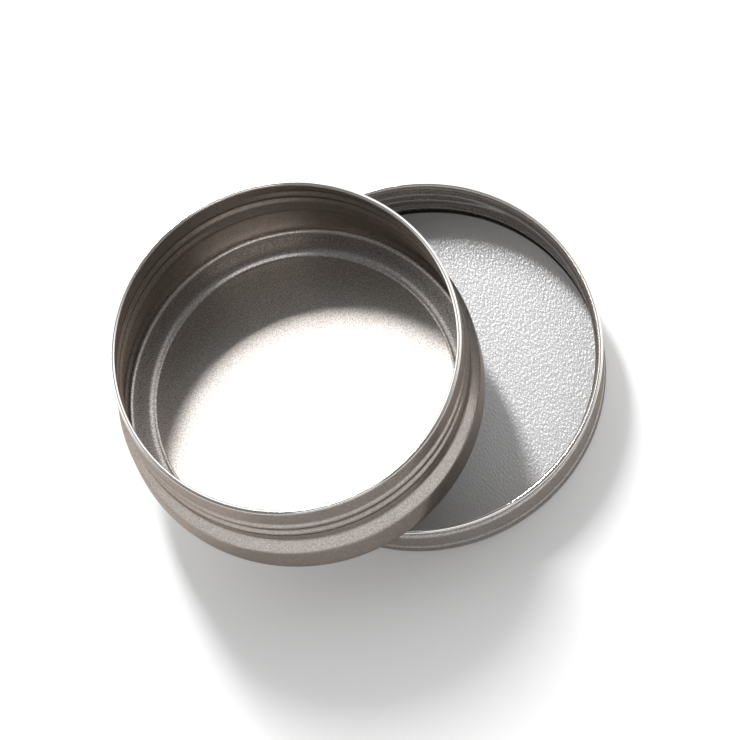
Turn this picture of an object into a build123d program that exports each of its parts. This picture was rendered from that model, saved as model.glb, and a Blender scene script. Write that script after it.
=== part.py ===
from build123d import *
from math import atan2, ceil, cos, radians, sin, tan
import os

# A round aluminium screw tin with a window in its lid, shown open.
# The lid lies upturned on the surface, mouth up, and the can stands level on the lid's rim.
# X runs from the can's axis to the lid's axis, Z is up, and the origin is at the centre
# of the pair's box, on the surface. All lengths are in millimetres and angles in degrees.

# Sheet metal of both pressings
sheet = 0.3

# Can
can_height = 28.5
body_radius = 33.15
neck_radius = 31.75
shoulder_depth = 14.6
shoulder_height = 1.6
foot_bend = 2.8
foot_slope = 9.0
floor_radius = 28.2

# Lid
lid_height = 13.4
skirt_clearance = 1.25
lid_corner_bend = 1.2
flange_width = 4.5
ridge_rise = 3.4
ridge_height = 0.7
ridge_half_width = 0.9
ridge_crest = 0.5

# Curled rims of both
curl_radius = 0.5
curl_sweep = 270.0

# How finely the bends are drawn, each as flats between points on its arc
bend_step = 30.0
curl_step = 45.0
inner_curl_step = 90.0

# Window
pane_thickness = 0.8
pane_snap = 0.2
pane_corner_gap = 0.05

# How the open pair stands
stand_offset = 21.6
stand_gap = 0.15

# Sizes that follow
skirt_inner_radius = neck_radius + skirt_clearance
lid_radius = skirt_inner_radius + 2 * curl_radius
ridge_radius = skirt_inner_radius - ridge_height
lid_inner_bend = lid_corner_bend - sheet
flange_radius = skirt_inner_radius - flange_width
pane_radius = ridge_radius + pane_snap
pane_bevel = lid_inner_bend - (skirt_inner_radius - pane_radius) + pane_corner_gap

# The box of the open pair is centred on the origin along X
lid_x = (stand_offset + body_radius - lid_radius) / 2
can_x = lid_x - stand_offset
can_floor_z = lid_height + stand_gap


def arc_points(centre, radius, start, turn, step):
    """Points along an arc in the section's plane, near enough to each other for flats."""
    flats = ceil(abs(turn) / step)
    angles = [radians(start + turn * place / flats) for place in range(flats + 1)]
    return [(centre[0] + radius * cos(angle), centre[1] + radius * sin(angle)) for angle in angles]


def pressing(outer, inner):
    """Piece turned about Z from one sheet, between the outlines of its two faces."""
    section = make_face(Polyline(*outer, *reversed(inner), close=True))
    return revolve(Plane.XZ * section, Axis.Z)


def can_outline(depth, curl_flat):
    """Half outline of the can, its floor at zero, at a depth below the outer face."""
    neck_foot = can_height - shoulder_depth - shoulder_height
    shoulder_angle = atan2(body_radius - neck_radius, shoulder_height)
    shoulder_drop = depth * tan(shoulder_angle / 2)
    floor_corner = floor_radius - depth * tan(radians(foot_slope) / 2)

    foot_rise = (body_radius - floor_radius) * tan(radians(foot_slope))
    foot_reach = foot_bend * tan(radians(90 - foot_slope) / 2)
    foot_centre = (body_radius - foot_bend, foot_rise + foot_reach)
    foot = arc_points(foot_centre, foot_bend - depth, foot_slope - 90, 90 - foot_slope, bend_step)

    curl_centre = (neck_radius - curl_radius, can_height - curl_radius)
    curl = arc_points(curl_centre, curl_radius - depth, 0, curl_sweep, curl_flat)
    return [
        (0, depth),
        (floor_corner, depth),
        *foot,
        (body_radius - depth, neck_foot - shoulder_drop),
        (neck_radius - depth, neck_foot + shoulder_height - shoulder_drop),
        *curl,
    ]


def lid_outline(depth, curl_flat):
    """Half outline of the upturned lid, its top panel at zero, at a depth behind the inner face."""
    wall_radius = skirt_inner_radius + depth
    corner_centre = (skirt_inner_radius - lid_inner_bend, lid_corner_bend)
    corner = arc_points(corner_centre, lid_inner_bend + depth, -90, 90, bend_step)

    ridge_angle = atan2(ridge_height, ridge_half_width - ridge_crest / 2)
    shift = depth * tan(ridge_angle / 2)
    root, crest = ridge_half_width - shift, ridge_crest / 2 - shift

    curl_centre = (skirt_inner_radius + curl_radius, lid_height - curl_radius)
    curl = arc_points(curl_centre, curl_radius - depth, 180, -curl_sweep, curl_flat)
    return [
        (flange_radius, sheet - depth),
        *corner,
        (wall_radius, ridge_rise - root),
        (ridge_radius + depth, ridge_rise - crest),
        (ridge_radius + depth, ridge_rise + crest),
        (wall_radius, ridge_rise + root),
        *curl,
    ]


def window_pane():
    """Window disc that lies on the lid's flange, bevelled below to clear the lid's corner."""
    disc = Pos(0, 0, sheet) * extrude(Circle(pane_radius), pane_thickness)
    underside = disc.edges().sort_by(Axis.Z)[0]
    return chamfer(underside, pane_bevel)


def write_node(name, shape, place):
    """Write one piece at its place, under its own name."""
    placed = place * shape
    placed.label = name
    export_step(placed, f"parts/{name}.step")
    print(name, "volume", round(placed.volume, 2), "size", placed.bounding_box().size)


can = pressing(can_outline(0, curl_step), can_outline(sheet, inner_curl_step))
lid = pressing(lid_outline(0, curl_step), lid_outline(sheet, inner_curl_step))

os.makedirs("parts", exist_ok=True)
write_node("base_can", can, Pos(can_x, 0, can_floor_z))
write_node("lid_ring", lid, Pos(lid_x, 0, 0))
write_node("window_pane", window_pane(), Pos(lid_x, 0, 0))
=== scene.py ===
"""Round aluminium screw tin with a window in its lid, open: the can stands on its upturned lid."""

import logging
import math
from dataclasses import dataclass, field
from enum import Enum
from typing import Callable

import bpy
from mathutils import Matrix, Vector

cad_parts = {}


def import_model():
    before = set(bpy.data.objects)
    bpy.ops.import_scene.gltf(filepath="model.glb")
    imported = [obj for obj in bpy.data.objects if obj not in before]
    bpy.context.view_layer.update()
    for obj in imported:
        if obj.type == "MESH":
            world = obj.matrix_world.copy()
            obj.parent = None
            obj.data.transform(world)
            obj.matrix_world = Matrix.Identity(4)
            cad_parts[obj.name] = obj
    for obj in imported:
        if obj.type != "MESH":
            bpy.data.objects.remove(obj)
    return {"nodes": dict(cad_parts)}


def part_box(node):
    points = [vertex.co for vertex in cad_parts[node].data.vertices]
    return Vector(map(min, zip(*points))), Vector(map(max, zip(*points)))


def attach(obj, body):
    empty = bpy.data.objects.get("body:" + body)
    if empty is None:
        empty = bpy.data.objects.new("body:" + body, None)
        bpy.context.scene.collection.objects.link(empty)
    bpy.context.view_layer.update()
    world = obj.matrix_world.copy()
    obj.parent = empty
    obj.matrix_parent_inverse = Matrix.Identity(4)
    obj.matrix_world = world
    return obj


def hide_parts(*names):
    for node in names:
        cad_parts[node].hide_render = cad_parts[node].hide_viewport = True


LOG = logging.getLogger("window_lid_tin")
MM = 0.001

# The photograph's frame and the camera's sensor
IMAGE_WIDTH = 740
SENSOR = 36.0

# How many edges the stretches and bends of an outline are made of
SLOPE_PARTS = 2
CORNER_STEPS = 8
CURVE_STEPS = 6
BODY_PARTS = 4
CURL_STEPS = 18

# Millimetres below which two points of an outline are one, and the angle up to which a wall looks smooth
MERGE_DISTANCE = 0.001
SMOOTH_ANGLE = 40.0

# Solidify's offset that puts the metal behind the drawn face
METAL_BEHIND = -1.0

# How far down a curl its smoother finish reaches, in curl radii
RIM_REACH = 0.6

# How sharply a rolled bead rises to its crown
BEAD_CROWN = 1.6

Colour = tuple[float, float, float]
Direction = tuple[float, float, float]
Relief = Callable[[float, float], float]
Socket = bpy.types.NodeSocket


def smooth_step(value: float) -> float:
    """Ease a value from 0 to 1, flat at both ends."""
    value = min(1.0, max(0.0, value))
    return value * value * (3.0 - 2.0 * value)


class Curl(Enum):
    """Which way a rim rolls over, as the sign of its bend."""

    INWARD = 1.0
    OUTWARD = -1.0


class Blend(Enum):
    """How one end of a range passes into the other."""

    EVEN = "LINEAR"
    EASED = "SMOOTHSTEP"


@dataclass(frozen=True)
class RolledThread:
    """One thread, rolled into a thin wall as a bead that climbs round it.

    Lengths are in millimetres, levels are heights above the piece's own base and angles are in degrees.
    """

    start_level: float
    pitch: float
    turns: float
    height: float
    half_width: float
    start_angle: float
    run_out: float = 32.0

    def height_at(self, angle: float, level: float) -> float:
        """Work out how far the bead stands off the wall.

        Args:
            angle: Place round the axis, in degrees.
            level: Height above the piece's base, in millimetres.

        Returns:
            The bead's height there, in millimetres.
        """
        tallest = 0.0
        sweep = 360.0 * self.turns
        turned = (angle - self.start_angle) % 360.0
        while turned <= sweep:
            centre = self.start_level + self.pitch * turned / 360.0
            across = abs(level - centre) / self.half_width
            if across < 1.0:
                ends = smooth_step(turned / self.run_out) * smooth_step((sweep - turned) / self.run_out)
                crown = math.cos(0.5 * math.pi * across) ** BEAD_CROWN
                tallest = max(tallest, self.height * crown * ends)
            turned += 360.0
        return tallest


@dataclass(frozen=True)
class Knurling:
    """A band of short upright grooves pressed into a wall, in millimetres."""

    count: int
    low: float
    high: float
    depth: float
    fade: float = 0.35

    def depth_at(self, angle: float, level: float) -> float:
        """Work out how deep the grooves are.

        Args:
            angle: Place round the axis, in degrees.
            level: Height above the piece's base, in millimetres.

        Returns:
            The depth there, in millimetres.
        """
        inside = smooth_step((level - self.low) / self.fade) * smooth_step((self.high - level) / self.fade)
        wave = 0.5 - 0.5 * math.cos(math.radians(angle) * self.count)
        return self.depth * inside * wave


class SheetOutline:
    """Half outline of a pressing, drawn edge by edge in the XZ plane, then turned about Z."""

    def __init__(self, name: str, radius: float, level: float) -> None:
        """Start the outline with one point.

        Args:
            name: The piece's name.
            radius: The first point's distance from the axis, in millimetres.
            level: The first point's height, in millimetres.
        """
        bpy.ops.object.select_all(action="DESELECT")
        bpy.ops.mesh.primitive_plane_add(size=MM, location=(0.0, 0.0, 0.0))
        self.piece = bpy.context.object
        self.piece.name = name
        bpy.ops.object.mode_set(mode="EDIT")
        bpy.ops.mesh.select_all(action="SELECT")
        bpy.ops.mesh.merge(type="CENTER")
        bpy.ops.transform.translate(value=(radius * MM, 0.0, level * MM))
        self.radius = radius
        self.level = level
        self.heading = 0.0

    def line_to(self, radius: float, level: float, parts: int = 1) -> None:
        """Draw a straight stretch.

        Args:
            radius: Its end's distance from the axis, in millimetres.
            level: Its end's height, in millimetres.
            parts: How many edges it is made of.
        """
        step = ((radius - self.radius) / parts * MM, 0.0, (level - self.level) / parts * MM)
        for _ in range(parts):
            bpy.ops.mesh.extrude_region_move(TRANSFORM_OT_translate={"value": step})
        self.heading = math.atan2(level - self.level, radius - self.radius)
        self.radius, self.level = radius, level

    def bend(self, bend_radius: float, turn: float, steps: int) -> None:
        """Draw an arc that leaves the last stretch without a kink.

        Args:
            bend_radius: The arc's radius, in millimetres.
            turn: How far it turns, in degrees, to the left where positive.
            steps: How many edges it is made of.
        """
        side = math.copysign(1.0, turn)
        to_centre = self.heading + side * math.pi / 2
        centre_radius = self.radius + bend_radius * math.cos(to_centre)
        centre_level = self.level + bend_radius * math.sin(to_centre)
        each = math.radians(turn) / steps
        from_centre = to_centre + math.pi
        for _ in range(steps):
            from_centre += each
            radius = centre_radius + bend_radius * math.cos(from_centre)
            level = centre_level + bend_radius * math.sin(from_centre)
            step = ((radius - self.radius) * MM, 0.0, (level - self.level) * MM)
            bpy.ops.mesh.extrude_region_move(TRANSFORM_OT_translate={"value": step})
            self.radius, self.level = radius, level
        self.heading += math.radians(turn)

    def rise_to_wall(self, radius: float, corner: float, curve: float, lean: float) -> None:
        """Carry a sloping stretch on, turn it up in a tight corner and ease it into an upright wall.

        Args:
            radius: The wall's distance from the axis, in millimetres.
            corner: The tight corner's radius, in millimetres.
            curve: The easy curve's radius, in millimetres.
            lean: How far the wall leans out where the easy curve starts, in degrees.
        """
        steep = math.pi / 2 - math.radians(lean)
        corner_reach = corner * (math.sin(steep) - math.sin(self.heading))
        curve_reach = curve * (1.0 - math.sin(steep))
        start = radius - corner_reach - curve_reach
        self.line_to(start, self.level + (start - self.radius) * math.tan(self.heading), SLOPE_PARTS)
        self.bend(corner, math.degrees(steep - self.heading), CORNER_STEPS)
        self.bend(curve, lean, CURVE_STEPS)

    def joggle_to(
        self, radius: float, level: float, height: float, bend_radius: float, steps: int
    ) -> None:
        """Step an upright wall in or out between two bends.

        Args:
            radius: The wall's distance from the axis after the step, in millimetres.
            level: The level at which the step ends, in millimetres.
            height: How high the step is, in millimetres.
            bend_radius: Both bends' radius, in millimetres.
            steps: How many edges each bend is made of.
        """
        start_radius = self.radius
        lean = math.atan2(start_radius - radius, height)
        reach = bend_radius * math.tan(abs(lean) / 2)
        self.line_to(start_radius, level - height - reach, BODY_PARTS)
        self.bend(bend_radius, math.degrees(lean), steps)
        self.line_to(radius + reach * math.sin(lean), level - reach * math.cos(lean))
        self.bend(bend_radius, -math.degrees(lean), steps)

    def turned(self, steps: int, relief: Relief, sheet: float) -> bpy.types.Object:
        """Turn the outline into a wall, shape its relief and give it the sheet's thickness.

        Args:
            steps: How many steps the turn has.
            relief: How far the wall stands out, in millimetres, by angle and level.
            sheet: The sheet's thickness, in millimetres.

        Returns:
            The finished piece, its axis on Z.
        """
        bpy.ops.mesh.select_all(action="SELECT")
        bpy.ops.mesh.spin(steps=steps, angle=2 * math.pi, center=(0, 0, 0), axis=(0, 0, 1))
        bpy.ops.mesh.select_all(action="SELECT")
        bpy.ops.mesh.remove_doubles(threshold=MERGE_DISTANCE * MM)
        bpy.ops.mesh.normals_make_consistent(inside=False)
        bpy.ops.object.mode_set(mode="OBJECT")
        for vertex in self.piece.data.vertices:
            radius = math.hypot(vertex.co.x, vertex.co.y)
            if radius < MM:
                continue
            angle = math.degrees(math.atan2(vertex.co.y, vertex.co.x))
            out = relief(angle, vertex.co.z / MM) * MM
            vertex.co.x *= (radius + out) / radius
            vertex.co.y *= (radius + out) / radius
        bpy.ops.object.modifier_add(type="SOLIDIFY")
        wall = self.piece.modifiers[-1]
        wall.thickness = sheet * MM
        wall.offset = METAL_BEHIND
        wall.use_even_offset = True
        wall.use_quality_normals = True
        bpy.ops.object.modifier_apply(modifier=wall.name)
        bpy.ops.object.shade_smooth_by_angle(angle=math.radians(SMOOTH_ANGLE))
        return self.piece


def dress_part(
    piece: bpy.types.Object, finish: bpy.types.Material, low: float, high: float, reach: float = 100.0
) -> None:
    """Give the faces in one part of a piece their own finish.

    Args:
        piece: The piece, its axis on Z and its base at zero.
        finish: The part's material.
        low: The part's lowest level, in millimetres.
        high: The part's highest level, in millimetres.
        reach: How far from the axis the part goes, in millimetres.
    """
    piece.data.materials.append(finish)
    index = len(piece.data.materials) - 1
    for face in piece.data.polygons:
        centre = face.center
        if low < centre.z / MM < high and math.hypot(centre.x, centre.y) < reach * MM:
            face.material_index = index


def place(piece: bpy.types.Object, x: float, z: float) -> None:
    """Move a finished piece to its place and keep its object at the origin.

    Args:
        piece: The piece, its axis on Z and its base at zero.
        x: Where its axis stands, in millimetres.
        z: Where its base stands, in millimetres.
    """
    bpy.ops.object.select_all(action="DESELECT")
    piece.select_set(True)
    bpy.context.view_layer.objects.active = piece
    bpy.ops.transform.translate(value=(x * MM, 0.0, z * MM))
    bpy.ops.object.transform_apply(location=True, rotation=True, scale=True)


def new_material(name: str) -> tuple[bpy.types.Material, bpy.types.NodeTree, bpy.types.Node]:
    """Make a material with a Principled shader.

    Args:
        name: The material's name.

    Returns:
        The material, its node tree and its Principled shader.
    """
    material = bpy.data.materials.new(name)
    material.use_nodes = True
    return material, material.node_tree, material.node_tree.nodes["Principled BSDF"]


def remapped(
    tree: bpy.types.NodeTree,
    value: Socket,
    seen: tuple[float, float],
    wanted: tuple[float, float],
    blend: Blend = Blend.EVEN,
) -> Socket:
    """Stretch one range of a value to another.

    Args:
        tree: The node tree to work in.
        value: The socket that gives the value.
        seen: The range that the value has.
        wanted: The range that it is to have.
        blend: How it passes from one end to the other.

    Returns:
        The socket that gives the stretched value.
    """
    node = tree.nodes.new("ShaderNodeMapRange")
    node.interpolation_type = blend.value
    node.inputs["From Min"].default_value, node.inputs["From Max"].default_value = seen
    node.inputs["To Min"].default_value, node.inputs["To Max"].default_value = wanted
    tree.links.new(value, node.inputs["Value"])
    return node.outputs["Result"]


def shaded(tree: bpy.types.NodeTree, colour: Colour, tone: Socket) -> Socket:
    """Darken or lighten a colour by a tone that changes over the surface.

    Args:
        tree: The node tree to work in.
        colour: The plain colour.
        tone: The socket that gives what it is multiplied by.

    Returns:
        The socket that gives the shaded colour.
    """
    node = tree.nodes.new("ShaderNodeMix")
    node.data_type = "RGBA"
    node.blend_type = "MULTIPLY"
    node.inputs["Factor"].default_value = 1.0
    node.inputs["A"].default_value = (*colour, 1.0)
    tree.links.new(tone, node.inputs["B"])
    return node.outputs["Result"]


def bumped(tree: bpy.types.NodeTree, height: Socket, distance: float, strength: float) -> Socket:
    """Turn a height pattern into a normal.

    Args:
        tree: The node tree to work in.
        height: The socket that gives the pattern.
        distance: How high the pattern is, in millimetres.
        strength: How much of it shows.

    Returns:
        The socket that gives the normal.
    """
    node = tree.nodes.new("ShaderNodeBump")
    node.inputs["Distance"].default_value = distance * MM
    node.inputs["Strength"].default_value = strength
    tree.links.new(height, node.inputs["Height"])
    return node.outputs["Normal"]


class GrainGroup:
    """Shared node group: the fine grain and faint cloudiness of drawn metal."""

    NAME = "metal_grain"
    GRAIN_DETAIL = 2.0
    GRAIN_ROUGHNESS = 0.65
    CLOUD_DETAIL = 3.0

    @classmethod
    def tree(cls) -> bpy.types.NodeTree:
        """Build the group at its first use.

        Returns:
            The group, the same one for every material.
        """
        found = bpy.data.node_groups.get(cls.NAME)
        if found:
            return found
        tree = bpy.data.node_groups.new(cls.NAME, "ShaderNodeTree")
        for side, names in (("INPUT", ("Grain Scale", "Cloud Scale")), ("OUTPUT", ("Grain", "Cloud"))):
            for name in names:
                tree.interface.new_socket(name, in_out=side, socket_type="NodeSocketFloat")
        nodes, links = tree.nodes, tree.links
        inputs = nodes.new("NodeGroupInput")
        outputs = nodes.new("NodeGroupOutput")
        where = nodes.new("ShaderNodeTexCoord")
        grain = nodes.new("ShaderNodeTexNoise")
        grain.inputs["Detail"].default_value = cls.GRAIN_DETAIL
        grain.inputs["Roughness"].default_value = cls.GRAIN_ROUGHNESS
        cloud = nodes.new("ShaderNodeTexNoise")
        cloud.inputs["Detail"].default_value = cls.CLOUD_DETAIL
        for node, name in ((grain, "Grain"), (cloud, "Cloud")):
            links.new(where.outputs["Object"], node.inputs["Vector"])
            links.new(inputs.outputs[f"{name} Scale"], node.inputs["Scale"])
            links.new(node.outputs["Fac"], outputs.inputs[name])
        return tree


@dataclass(frozen=True)
class SatinAluminium:
    """Drawn aluminium with a satin, finely grained face. Heights are in millimetres."""

    name: str
    colour: Colour = (0.57, 0.525, 0.49)
    roughness: float = 0.26
    grazing_tint: Colour = (0.55, 0.49, 0.45)
    grain_per_metre: float = 4200.0
    grain_height: float = 0.010
    grain_strength: float = 0.6
    grain_shade: float = 0.5
    grain_range: tuple[float, float] = (0.36, 0.64)
    cloud_per_metre: float = 90.0
    cloud_range: tuple[float, float] = (0.3, 0.7)
    cloud_roughness: float = 0.01

    def material(self) -> bpy.types.Material:
        """Build the material.

        Returns:
            The material.
        """
        material, tree, shader = new_material(self.name)
        grain = tree.nodes.new("ShaderNodeGroup")
        grain.node_tree = GrainGroup.tree()
        grain.inputs["Grain Scale"].default_value = self.grain_per_metre
        grain.inputs["Cloud Scale"].default_value = self.cloud_per_metre
        tone = remapped(tree, grain.outputs["Grain"], self.grain_range, (self.grain_shade, 1.0))
        spread = (self.roughness - self.cloud_roughness, self.roughness + self.cloud_roughness)
        rough = remapped(tree, grain.outputs["Cloud"], self.cloud_range, spread)
        normal = bumped(tree, grain.outputs["Grain"], self.grain_height, self.grain_strength)
        tree.links.new(shaded(tree, self.colour, tone), shader.inputs["Base Color"])
        tree.links.new(rough, shader.inputs["Roughness"])
        tree.links.new(normal, shader.inputs["Normal"])
        shader.inputs["Metallic"].default_value = 1.0
        shader.inputs["Specular Tint"].default_value = (*self.grazing_tint, 1.0)
        return material


def rolled_rim(name: str) -> SatinAluminium:
    """Return the finish of a curl, which rolling has made smoother than the walls."""
    colour, tint = (0.88, 0.85, 0.82), (0.9, 0.88, 0.86)
    return SatinAluminium(name, colour, 0.10, tint, grain_height=0.005, grain_shade=0.9)


@dataclass(frozen=True)
class PebbledPlastic:
    """Glossy, slightly frosted window plastic with a pebbled face, its pebbles drawn out one way.

    Heights are in millimetres and angles in degrees.
    """

    name: str
    colour: Colour = (0.54, 0.54, 0.545)
    roughness: float = 0.28
    refraction: float = 1.6
    gloss: float = 1.0
    pebbles_per_metre: float = 2800.0
    pebble_detail: float = 2.0
    pebble_height: float = 0.08
    pebble_tone: tuple[float, float] = (0.93, 1.05)
    drawn_angle: float = 35.0
    drawn_scale: float = 0.55

    def material(self) -> bpy.types.Material:
        """Build the material.

        Returns:
            The material.
        """
        material, tree, shader = new_material(self.name)
        where = tree.nodes.new("ShaderNodeTexCoord")
        drawn = tree.nodes.new("ShaderNodeMapping")
        drawn.inputs["Rotation"].default_value = (0.0, 0.0, math.radians(self.drawn_angle))
        drawn.inputs["Scale"].default_value = (1.0, self.drawn_scale, 1.0)
        tree.links.new(where.outputs["Object"], drawn.inputs["Vector"])
        pebbles = tree.nodes.new("ShaderNodeTexNoise")
        pebbles.inputs["Scale"].default_value = self.pebbles_per_metre
        pebbles.inputs["Detail"].default_value = self.pebble_detail
        tree.links.new(drawn.outputs["Vector"], pebbles.inputs["Vector"])
        tone = remapped(tree, pebbles.outputs["Fac"], (0.0, 1.0), self.pebble_tone)
        normal = bumped(tree, pebbles.outputs["Fac"], self.pebble_height, 1.0)
        tree.links.new(shaded(tree, self.colour, tone), shader.inputs["Base Color"])
        tree.links.new(normal, shader.inputs["Normal"])
        shader.inputs["Roughness"].default_value = self.roughness
        shader.inputs["IOR"].default_value = self.refraction
        shader.inputs["Specular IOR Level"].default_value = self.gloss
        return material


@dataclass
class Can:
    """The can: floor, foot corner, body, shoulder, threaded neck and inward curl.

    Lengths are in millimetres and angles in degrees.
    """

    axis_x: float
    base_z: float
    height: float
    body_radius: float
    neck_radius: float = 31.75
    sheet: float = 0.3
    panel_radius: float = 27.3
    panel_parts: int = 12
    step_bend: float = 1.2
    step_slope: float = 38.0
    step_crown: float = 1.8
    step_bend_steps: int = 6
    step_crown_steps: int = 5
    foot_slope: float = 6.0
    foot_bend: float = 1.3
    foot_curve: float = 6.0
    foot_lean: float = 24.0
    shoulder_depth: float = 14.6
    shoulder_height: float = 3.2
    shoulder_bend: float = 3.0
    shoulder_steps: int = 5
    neck_parts: int = 50
    curl: Curl = Curl.INWARD
    curl_radius: float = 0.5
    curl_sweep: float = 265.0
    steps: int = 360
    finish: SatinAluminium = field(default_factory=lambda: SatinAluminium("can_satin"))
    rim_finish: SatinAluminium = field(default_factory=lambda: rolled_rim("can_rim"))
    floor_finish: SatinAluminium = field(
        default_factory=lambda: SatinAluminium("can_floor", (0.66, 0.615, 0.575), 0.30, grain_height=0.03)
    )
    thread: RolledThread = RolledThread(
        start_level=16.5, pitch=3.4, turns=2.0, height=0.27, half_width=1.5, start_angle=90.0
    )

    def relief(self, angle: float, level: float) -> float:
        """Return how far the wall stands out at an angle and level, in millimetres."""
        return self.thread.height_at(angle, level)

    def wall(self) -> bpy.types.Object:
        """Draw the can's outline from the middle of its floor to its curl, and turn it.

        Returns:
            The can, its axis on Z and its base at zero.
        """
        outline = SheetOutline("can", 0.0, 0.0)
        outline.line_to(self.panel_radius, 0.0, self.panel_parts)
        outline.bend(self.step_bend, self.step_slope, self.step_bend_steps)
        outline.bend(self.step_crown, self.foot_slope - self.step_slope, self.step_crown_steps)
        outline.rise_to_wall(self.body_radius, self.foot_bend, self.foot_curve, self.foot_lean)
        outline.joggle_to(
            self.neck_radius,
            self.height - self.shoulder_depth,
            self.shoulder_height,
            self.shoulder_bend,
            self.shoulder_steps,
        )
        outline.line_to(self.neck_radius, self.height - self.curl_radius, self.neck_parts)
        outline.bend(self.curl_radius, self.curl.value * self.curl_sweep, CURL_STEPS)
        return outline.turned(self.steps, self.relief, self.sheet)

    def dress(self, piece: bpy.types.Object) -> None:
        """Give the walls, the curl and the floor their finishes.

        Args:
            piece: The can, its axis on Z and its base at zero.
        """
        piece.data.materials.append(self.finish.material())
        rim_foot = self.height - RIM_REACH * self.curl_radius
        dress_part(piece, self.rim_finish.material(), rim_foot, self.height)
        dress_part(piece, self.floor_finish.material(), -self.sheet, 2 * self.sheet, self.panel_radius)

    def build(self) -> bpy.types.Object:
        """Model the can and put it in its place.

        Returns:
            The finished can.
        """
        piece = self.wall()
        self.dress(piece)
        place(piece, self.axis_x, self.base_z)
        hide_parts("base_can")
        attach(piece, "can")
        LOG.info("can: %d faces", len(piece.data.polygons))
        return piece


@dataclass
class Lid:
    """The upturned lid: panel with the window's opening, corner, ridge, threaded skirt and curl.

    Lengths are in millimetres and angles in degrees.
    """

    axis_x: float
    height: float = 13.4
    skirt_radius: float = 33.0
    sheet: float = 0.3
    flange_width: float = 4.5
    flange_parts: int = 2
    corner_bend: float = 0.9
    corner_steps: int = 7
    foot_parts: int = 5
    ridge_level: float = 3.4
    ridge_height: float = 0.7
    ridge_half_width: float = 0.7
    ridge_root: float = 0.4
    ridge_crown: float = 0.5
    ridge_root_steps: int = 3
    ridge_crown_steps: int = 6
    skirt_parts: int = 30
    curl: Curl = Curl.OUTWARD
    curl_radius: float = 0.5
    curl_sweep: float = 265.0
    steps: int = 528
    finish: SatinAluminium = field(
        default_factory=lambda: SatinAluminium("lid_satin", (0.63, 0.60, 0.57), 0.34, grain_height=0.02)
    )
    rim_finish: SatinAluminium = field(default_factory=lambda: rolled_rim("lid_rim"))
    thread: RolledThread = RolledThread(
        start_level=7.6, pitch=3.2, turns=1.3, height=0.75, half_width=1.2, start_angle=30.0
    )
    knurling: Knurling = Knurling(count=132, low=0.9, high=2.7, depth=0.14)

    def relief(self, angle: float, level: float) -> float:
        """Return how far the wall stands out at an angle and level, in millimetres."""
        return -self.thread.height_at(angle, level) - self.knurling.depth_at(angle, level)

    def draw_ridge(self, outline: SheetOutline) -> None:
        """Carry the skirt up over the ridge that holds the window.

        Args:
            outline: The lid's outline, which has reached the skirt's foot.
        """
        rise = math.atan2(self.ridge_height, self.ridge_half_width)
        slope = math.degrees(rise)
        low, high = self.ridge_level - self.ridge_half_width, self.ridge_level + self.ridge_half_width
        reach = self.ridge_root * math.tan(rise / 2)
        back = self.ridge_crown * math.tan(rise)
        crest = self.skirt_radius - self.ridge_height
        outline.line_to(self.skirt_radius, low - reach, self.foot_parts)
        outline.bend(self.ridge_root, slope, self.ridge_root_steps)
        outline.line_to(crest + back * math.sin(rise), self.ridge_level - back * math.cos(rise))
        outline.bend(self.ridge_crown, -2 * slope, self.ridge_crown_steps)
        outline.line_to(self.skirt_radius - reach * math.sin(rise), high - reach * math.cos(rise))
        outline.bend(self.ridge_root, slope, self.ridge_root_steps)

    def wall(self) -> bpy.types.Object:
        """Draw the lid's outline from the window's opening to its curl, and turn it.

        Returns:
            The lid, its axis on Z and its base at zero.
        """
        outline = SheetOutline("lid", self.skirt_radius - self.flange_width, self.sheet)
        outline.line_to(self.skirt_radius - self.corner_bend, self.sheet, self.flange_parts)
        outline.bend(self.corner_bend, 90.0, self.corner_steps)
        self.draw_ridge(outline)
        outline.line_to(self.skirt_radius, self.height - self.curl_radius, self.skirt_parts)
        outline.bend(self.curl_radius, self.curl.value * self.curl_sweep, CURL_STEPS)
        return outline.turned(self.steps, self.relief, self.sheet)

    def dress(self, piece: bpy.types.Object) -> None:
        """Give the walls and the curl their finishes.

        Args:
            piece: The lid, its axis on Z and its base at zero.
        """
        piece.data.materials.append(self.finish.material())
        rim_foot = self.height - RIM_REACH * self.curl_radius
        dress_part(piece, self.rim_finish.material(), rim_foot, self.height)

    def build(self) -> bpy.types.Object:
        """Model the lid and put it in its place.

        Returns:
            The finished lid.
        """
        piece = self.wall()
        self.dress(piece)
        place(piece, self.axis_x, 0.0)
        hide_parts("lid_ring")
        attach(piece, "lid")
        LOG.info("lid: %d faces", len(piece.data.polygons))
        return piece


@dataclass
class Window:
    """The window disc, which keeps its solid and gets its finish."""

    node: bpy.types.Object
    finish: PebbledPlastic = field(default_factory=lambda: PebbledPlastic("window_pebbled"))

    def dress(self) -> None:
        """Give the disc its material."""
        self.node.data.materials.clear()
        self.node.data.materials.append(self.finish.material())
        LOG.info("window: dressed")


@dataclass(frozen=True)
class Softbox:
    """One soft light that faces the object. Lengths are in millimetres.

    Its level is how bright its face looks, where 1 is white.
    """

    name: str
    toward: Direction
    width: float
    depth: float
    level: float
    away: float = 1500.0

    def hang(self) -> None:
        """Hang the light."""
        data = bpy.data.lights.new(self.name, "AREA")
        data.shape = "RECTANGLE"
        data.size = self.width * MM
        data.size_y = self.depth * MM
        data.energy = self.level * math.pi * data.size * data.size_y
        light = bpy.data.objects.new(self.name, data)
        bpy.context.scene.collection.objects.link(light)
        toward = Vector(self.toward)
        light.location = toward.normalized() * self.away * MM
        light.rotation_euler = toward.to_track_quat("Z", "Y").to_euler()


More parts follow.
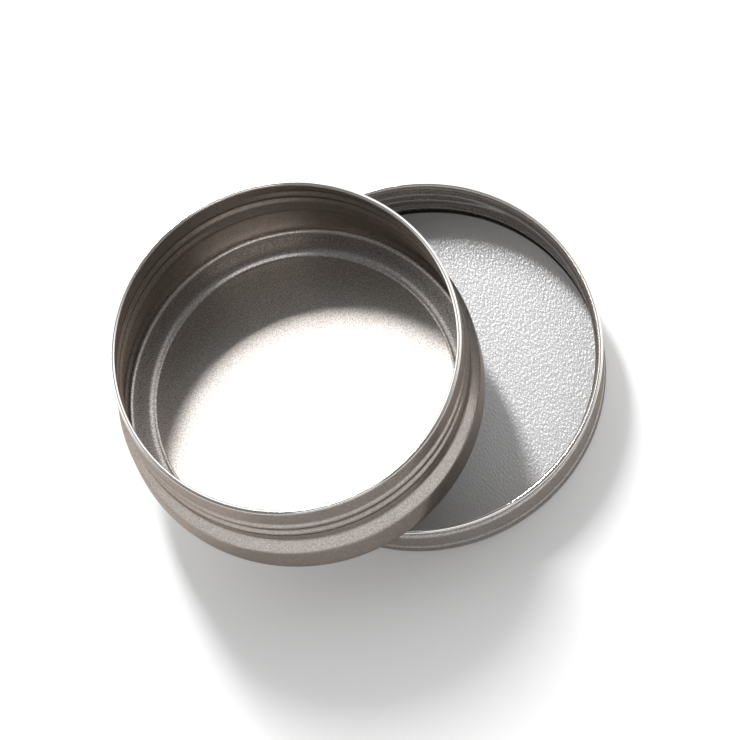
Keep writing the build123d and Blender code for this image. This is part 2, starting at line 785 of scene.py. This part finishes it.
@dataclass
class Studio:
    """Floor, softboxes, surroundings and camera. Lengths are in millimetres, angles in degrees.

    The surroundings are bright on the side that bright_toward names, dim on the other and dim overhead.
    """

    elevation: float = 69.05
    azimuth: float = -0.79
    roll: float = -20.60
    distance: float = 1439.7
    aim: tuple[float, float, float] = (1.4, -4.65, 27.6)
    focal_pixels: float = 8000.0
    view_reach: float = 20.0
    floor_size: float = 6000.0
    floor_colour: Colour = (0.9, 0.9, 0.9)
    floor_roughness: float = 0.9
    floor_glow: float = 0.08
    key: Softbox = Softbox("key", (-0.03, 0.616, 0.788), 150.0, 540.0, 58.0)
    front: Softbox = Softbox("front", (-0.05, -0.74, 0.67), 900.0, 800.0, 1.1)
    bright_level: float = 1.5
    dim_level: float = 0.25
    top_level: float = 0.2
    bright_toward: Direction = (0.2, 0.98, 0.0)
    bright_blend: tuple[float, float] = (-0.25, 0.35)
    top_blend: tuple[float, float] = (0.82, 0.93)

    def camera(self) -> None:
        """Set up the camera at the photograph's viewing angle."""
        data = bpy.data.cameras.new("camera")
        data.lens = self.focal_pixels / IMAGE_WIDTH * SENSOR
        data.sensor_width = SENSOR
        data.clip_end = self.view_reach
        camera = bpy.data.objects.new("camera", data)
        bpy.context.scene.collection.objects.link(camera)
        up, round_z = math.radians(self.elevation), math.radians(self.azimuth)
        back = Vector((math.sin(round_z) * math.cos(up), -math.cos(round_z) * math.cos(up), math.sin(up)))
        right = Vector((math.cos(round_z), math.sin(round_z), 0.0))
        over = back.cross(right)
        lean = math.radians(self.roll)
        side = right * math.cos(lean) + over * math.sin(lean)
        top = over * math.cos(lean) - right * math.sin(lean)
        place_at = Vector(self.aim) * MM + back * self.distance * MM
        turn = Matrix((side, top, back)).transposed().to_4x4()
        camera.matrix_world = Matrix.Translation(place_at) @ turn
        bpy.context.scene.camera = camera

    def floor(self) -> None:
        """Lay a plain pale floor that reads as white behind the object and in its mirrorings."""
        bpy.ops.object.select_all(action="DESELECT")
        bpy.ops.mesh.primitive_plane_add(size=self.floor_size * MM)
        floor = bpy.context.object
        floor.name = "floor"
        material, tree, shader = new_material("pale_floor")
        shader.inputs["Base Color"].default_value = (*self.floor_colour, 1.0)
        shader.inputs["Roughness"].default_value = self.floor_roughness
        rays = tree.nodes.new("ShaderNodeLightPath")
        seen = rays.outputs["Is Camera Ray"]
        for kind in ("Is Glossy Ray", "Is Transmission Ray"):
            either = tree.nodes.new("ShaderNodeMath")
            either.operation = "MAXIMUM"
            tree.links.new(seen, either.inputs[0])
            tree.links.new(rays.outputs[kind], either.inputs[1])
            seen = either.outputs[0]
        glow = tree.nodes.new("ShaderNodeMath")
        glow.operation = "MULTIPLY"
        glow.inputs[1].default_value = self.floor_glow
        tree.links.new(seen, glow.inputs[0])
        shader.inputs["Emission Color"].default_value = (1.0, 1.0, 1.0, 1.0)
        tree.links.new(glow.outputs[0], shader.inputs["Emission Strength"])
        floor.data.materials.append(material)

    def surroundings(self) -> None:
        """Surround the object with plain light that is bright on one side."""
        world = bpy.data.worlds.new("surroundings")
        world.use_nodes = True
        bpy.context.scene.world = world
        tree = world.node_tree
        background = tree.nodes["Background"]
        background.inputs["Color"].default_value = (1.0, 1.0, 1.0, 1.0)
        where = tree.nodes.new("ShaderNodeTexCoord").outputs["Generated"]
        facing = tree.nodes.new("ShaderNodeVectorMath")
        facing.operation = "DOT_PRODUCT"
        facing.inputs[1].default_value = self.bright_toward
        tree.links.new(where, facing.inputs[0])
        split = tree.nodes.new("ShaderNodeSeparateXYZ")
        tree.links.new(where, split.inputs["Vector"])
        levels = (self.dim_level, self.bright_level)
        sides = remapped(tree, facing.outputs["Value"], self.bright_blend, levels, Blend.EASED)
        top = remapped(tree, split.outputs["Z"], self.top_blend, (0.0, 1.0), Blend.EASED)
        level = tree.nodes.new("ShaderNodeMix")
        tree.links.new(top, level.inputs["Factor"])
        tree.links.new(sides, level.inputs["A"])
        level.inputs["B"].default_value = self.top_level
        tree.links.new(level.outputs["Result"], background.inputs["Strength"])

    def build(self) -> None:
        """Set up the whole studio."""
        self.camera()
        self.floor()
        self.key.hang()
        self.front.hang()
        self.surroundings()


def main() -> None:
    """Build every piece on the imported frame."""
    logging.basicConfig(level=logging.INFO, format="%(name)s %(message)s")
    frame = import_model()
    bpy.context.scene.view_settings.view_transform = "Standard"
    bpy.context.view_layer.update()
    can_low, can_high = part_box("base_can")
    lid_low, lid_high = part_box("lid_ring")
    Studio().build()
    Can(
        axis_x=(can_low.x + can_high.x) / 2 / MM,
        base_z=can_low.z / MM,
        height=(can_high.z - can_low.z) / MM,
        body_radius=(can_high.x - can_low.x) / 2 / MM,
    ).build()
    Lid(axis_x=(lid_low.x + lid_high.x) / 2 / MM).build()
    Window(frame["nodes"]["window_pane"]).dress()


if __name__ == "__main__":
    main()
